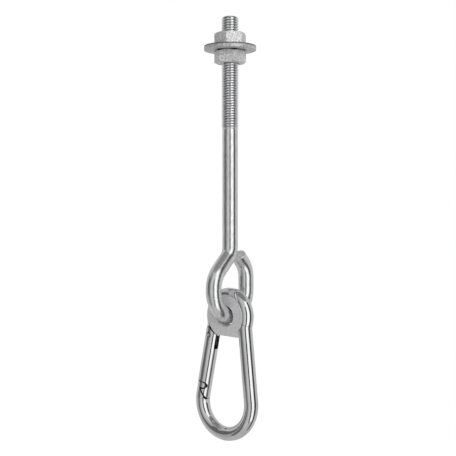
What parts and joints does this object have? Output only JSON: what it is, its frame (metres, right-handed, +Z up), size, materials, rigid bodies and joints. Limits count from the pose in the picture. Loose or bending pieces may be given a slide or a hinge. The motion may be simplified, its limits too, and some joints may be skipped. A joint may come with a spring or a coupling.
{
  "type": "swing hanger bolt",
  "caption": "Long eye bolt with nuts and a wide washer on its threaded end and a sprung snap hook hanging from its eye, for hanging a swing from a beam.",
  "frame": {"origin": "on the rod's axis, at the washer's underside, which bears on the beam", "axes": "+Z up along the rod to its threaded tip, X in the plane of the eye, +Y towards the hook's gate"},
  "size_m": [0.0392, 0.046, 0.2524],
  "materials": {
    "rod_steel": "bright zinc plate",
    "nut_steel": "bright zinc plate",
    "washer_steel": "bright zinc plate",
    "hook_steel": "bright zinc plate",
    "eyelet_steel": "dull zinc plate",
    "gate_steel": "bright zinc plate",
    "rivet_steel": "zinc plate",
    "spring_steel": "oiled spring steel"
  },
  "bodies": {
    "bolt": {"eye_bolt": "rod_steel"},
    "top_nut": {"upper_nut": "nut_steel"},
    "bottom_nut": {"lower_nut": "nut_steel", "washer": "washer_steel"},
    "hook": {"hook_body": "hook_steel", "eyelet": "eyelet_steel"},
    "hook_gate": {"gate": "gate_steel", "gate_rivet": "rivet_steel", "gate_spring": "spring_steel"},
    "plunger": {"spring_plunger": "rivet_steel"}
  },
  "joints": [
    {"name": "upper_nut_travel", "type": "slide", "parent": "bolt", "child": "top_nut", "axis": [0, 0, 1], "range_m": [0, 0.009]},
    {"name": "lower_nut_travel", "type": "slide", "parent": "bolt", "child": "bottom_nut", "axis": [0, 0, 1], "range_m": [-0.0395, 0]},
    {"name": "hook_swing", "type": "hinge", "parent": "bolt", "child": "hook", "pos_m": [0, 0, -0.1575], "axis": [1, 0, 0], "range_deg": [-103, 97]},
    {"name": "gate_swing", "type": "hinge", "parent": "hook", "child": "hook_gate", "pos_m": [0, 0.01346, -0.16947], "axis": [-1, 0, 0], "range_deg": [0, 30], "stiffness_Nm_per_rad": 0.3, "springref_deg": -28.65},
    {"name": "plunger_slide", "type": "slide", "parent": "hook_gate", "child": "plunger", "axis": [0, 0.2079, -0.9781], "range_m": [0, 0.0007], "deforming": ["gate_spring"]}
  ],
  "couplings": [
    {"joint": "plunger_slide", "follows": "gate_swing", "m_per_rad": 0.0013}
  ]
}
